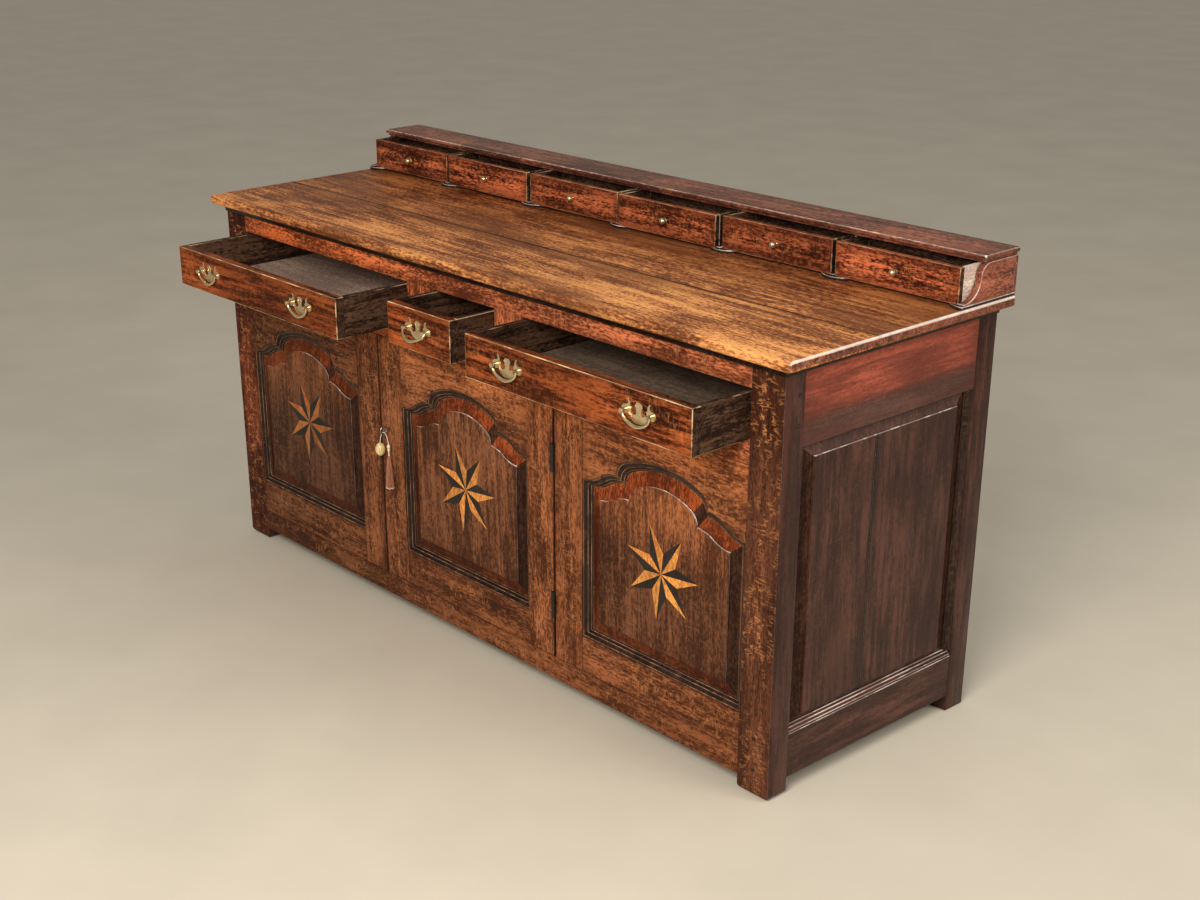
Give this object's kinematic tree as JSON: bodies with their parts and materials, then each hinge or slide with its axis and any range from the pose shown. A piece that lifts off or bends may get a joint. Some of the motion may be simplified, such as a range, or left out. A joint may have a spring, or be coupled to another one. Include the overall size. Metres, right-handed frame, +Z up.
{
  "type": "kitchen dresser base",
  "caption": "Low oak dresser with frieze drawers, a door between fixed arched panels with star inlay, and a gallery of spice drawers along the back of its top.",
  "frame": {"origin": "on the floor, in the middle of the width and of the whole depth with the drawers drawn out as at rest", "axes": "+X to the right along the front, +Y to the back, +Z up"},
  "size_m": [1.81, 0.7852, 0.943],
  "materials": {
    "oak": "waxed and polished old oak",
    "raw_oak": "unfinished grey-brown oak",
    "boxwood": "waxed light inlay",
    "bog_oak": "waxed dark inlay",
    "antique_brass": "worn antique brass",
    "dark_iron": "dark wrought iron",
    "bead": "polished bone-coloured bead",
    "tassel_thread": "tan silk thread"
  },
  "bodies": {
    "carcass": {"front_posts": "oak", "back_posts": "oak", "frieze_rail": "oak", "drawer_dividers": "oak", "base_rail": "oak", "fixed_panel_frames": "oak", "fixed_panels": "oak", "fixed_panel_mouldings": "oak", "fixed_stars_light": "boxwood", "fixed_stars_dark": "bog_oak", "side_rails": "oak", "side_panels": "oak", "back_rails": "raw_oak", "back_boards": "raw_oak", "cupboard_floor": "raw_oak", "drawer_runners": "raw_oak", "top_boards": "oak", "top_moulding": "oak", "gallery_base": "oak", "gallery_ends": "oak", "gallery_dividers": "oak", "gallery_top": "oak", "gallery_back": "oak", "joint_pegs": "oak", "hinge_fixed_leaves": "dark_iron"},
    "left_drawer_body": {"left_drawer": "oak", "left_drawer_plates": "antique_brass"},
    "centre_drawer_body": {"centre_drawer": "oak", "centre_drawer_plates": "antique_brass"},
    "right_drawer_body": {"right_drawer": "oak", "right_drawer_plates": "antique_brass"},
    "left_drawer_left_bail_body": {"left_drawer_left_bail": "antique_brass"},
    "left_drawer_right_bail_body": {"left_drawer_right_bail": "antique_brass"},
    "centre_drawer_bail_body": {"centre_drawer_bail": "antique_brass"},
    "right_drawer_left_bail_body": {"right_drawer_left_bail": "antique_brass"},
    "right_drawer_right_bail_body": {"right_drawer_right_bail": "antique_brass"},
    "spice_drawer_1_body": {"spice_drawer_1": "oak", "spice_knob_1": "antique_brass"},
    "spice_drawer_2_body": {"spice_drawer_2": "oak", "spice_knob_2": "antique_brass"},
    "spice_drawer_3_body": {"spice_drawer_3": "oak", "spice_knob_3": "antique_brass"},
    "spice_drawer_4_body": {"spice_drawer_4": "oak", "spice_knob_4": "antique_brass"},
    "spice_drawer_5_body": {"spice_drawer_5": "oak", "spice_knob_5": "antique_brass"},
    "spice_drawer_6_body": {"spice_drawer_6": "oak", "spice_knob_6": "antique_brass"},
    "door_body": {"door_frame": "oak", "door_panel": "oak", "door_moulding": "oak", "door_star_light": "boxwood", "door_star_dark": "bog_oak", "door_lock": "dark_iron", "hinge_door_leaves": "dark_iron"},
    "lock_bolt_body": {"lock_bolt": "dark_iron"},
    "key_body": {"key": "dark_iron"},
    "key_tassel_body": {"key_cord": "tassel_thread", "key_bead": "bead", "key_tassel": "tassel_thread"}
  },
  "joints": [
    {"name": "left_drawer_slide", "type": "slide", "parent": "carcass", "child": "left_drawer_body", "axis": [0, -1, 0], "range_m": [-0.178, 0.222]},
    {"name": "centre_drawer_slide", "type": "slide", "parent": "carcass", "child": "centre_drawer_body", "axis": [0, -1, 0], "range_m": [-0.11, 0.29]},
    {"name": "right_drawer_slide", "type": "slide", "parent": "carcass", "child": "right_drawer_body", "axis": [0, -1, 0], "range_m": [-0.139, 0.261]},
    {"name": "left_drawer_left_bail_swing", "type": "hinge", "parent": "left_drawer_body", "child": "left_drawer_left_bail_body", "pos_m": [-0.66782, -0.386, 0.73465], "axis": [-1, 0, 0], "range_deg": [-10, 90]},
    {"name": "left_drawer_right_bail_swing", "type": "hinge", "parent": "left_drawer_body", "child": "left_drawer_right_bail_body", "pos_m": [-0.30618, -0.386, 0.73465], "axis": [-1, 0, 0], "range_deg": [-10, 90]},
    {"name": "centre_drawer_bail_swing", "type": "hinge", "parent": "centre_drawer_body", "child": "centre_drawer_bail_body", "pos_m": [0.0095, -0.318, 0.73465], "axis": [-1, 0, 0], "range_deg": [-48, 52]},
    {"name": "right_drawer_left_bail_swing", "type": "hinge", "parent": "right_drawer_body", "child": "right_drawer_left_bail_body", "pos_m": [0.32121, -0.347, 0.73465], "axis": [-1, 0, 0], "range_deg": [-10, 90]},
    {"name": "right_drawer_right_bail_swing", "type": "hinge", "parent": "right_drawer_body", "child": "right_drawer_right_bail_body", "pos_m": [0.67179, -0.347, 0.73465], "axis": [-1, 0, 0], "range_deg": [-10, 90]},
    {"name": "spice_drawer_1_slide", "type": "slide", "parent": "carcass", "child": "spice_drawer_1_body", "axis": [0, -1, 0], "range_m": [-0.04, 0.03]},
    {"name": "spice_drawer_2_slide", "type": "slide", "parent": "carcass", "child": "spice_drawer_2_body", "axis": [0, -1, 0], "range_m": [-0.044, 0.026]},
    {"name": "spice_drawer_3_slide", "type": "slide", "parent": "carcass", "child": "spice_drawer_3_body", "axis": [0, -1, 0], "range_m": [-0.042, 0.028]},
    {"name": "spice_drawer_4_slide", "type": "slide", "parent": "carcass", "child": "spice_drawer_4_body", "axis": [0, -1, 0], "range_m": [-0.05, 0.02]},
    {"name": "spice_drawer_5_slide", "type": "slide", "parent": "carcass", "child": "spice_drawer_5_body", "axis": [0, -1, 0], "range_m": [-0.041, 0.029]},
    {"name": "spice_drawer_6_slide", "type": "slide", "parent": "carcass", "child": "spice_drawer_6_body", "axis": [0, -1, 0], "range_m": [-0.044, 0.026]},
    {"name": "door_hinge", "type": "hinge", "parent": "carcass", "child": "door_body", "pos_m": [0.2893, -0.2031, 0.36], "axis": [0, 0, 1], "range_deg": [0, 110]},
    {"name": "key_turn", "type": "hinge", "parent": "door_body", "child": "key_body", "pos_m": [-0.2573, -0.1984, 0.433], "axis": [0, 1, 0], "range_deg": [0, 90]},
    {"name": "bolt_slide", "type": "slide", "parent": "door_body", "child": "lock_bolt_body", "axis": [-1, 0, 0], "range_m": [0, 0.012]},
    {"name": "tassel_hang", "type": "hinge", "parent": "key_body", "child": "key_tassel_body", "pos_m": [-0.2573, -0.2157, 0.425], "axis": [0, 1, 0], "range_deg": [-90, 0]}
  ],
  "couplings": [
    {"joint": "bolt_slide", "follows": "key_turn", "m_per_rad": 0.0076394},
    {"joint": "tassel_hang", "follows": "key_turn", "ratio": -1}
  ]
}
